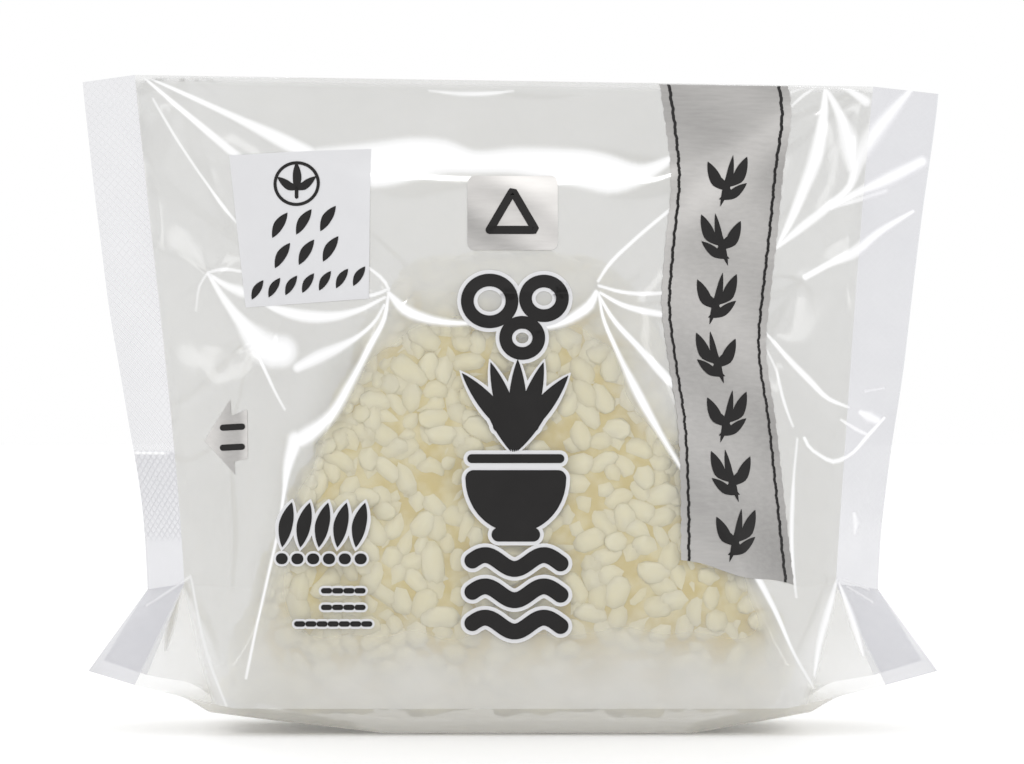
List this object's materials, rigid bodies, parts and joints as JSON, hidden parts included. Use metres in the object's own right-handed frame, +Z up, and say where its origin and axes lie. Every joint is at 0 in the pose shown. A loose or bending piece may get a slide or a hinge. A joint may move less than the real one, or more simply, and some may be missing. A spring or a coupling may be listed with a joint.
{
  "type": "onigiri rice ball in a clear film pack",
  "caption": "Triangular rice ball sealed in a clear, milky film pack that stands on its opened bottom gusset, with a flat seal fin at each end.",
  "frame": {"origin": "on the floor, under the middle of the pack's box", "axes": "+Z up, +X along the pack's width from one end seal to the other, front panel facing -Y"},
  "size_m": [0.1376, 0.0374, 0.105],
  "materials": {
    "film": "thin glossy film with a milky haze"
  },
  "bodies": {
    "root": {"film_pack": "film"}
  },
  "joints": []
}
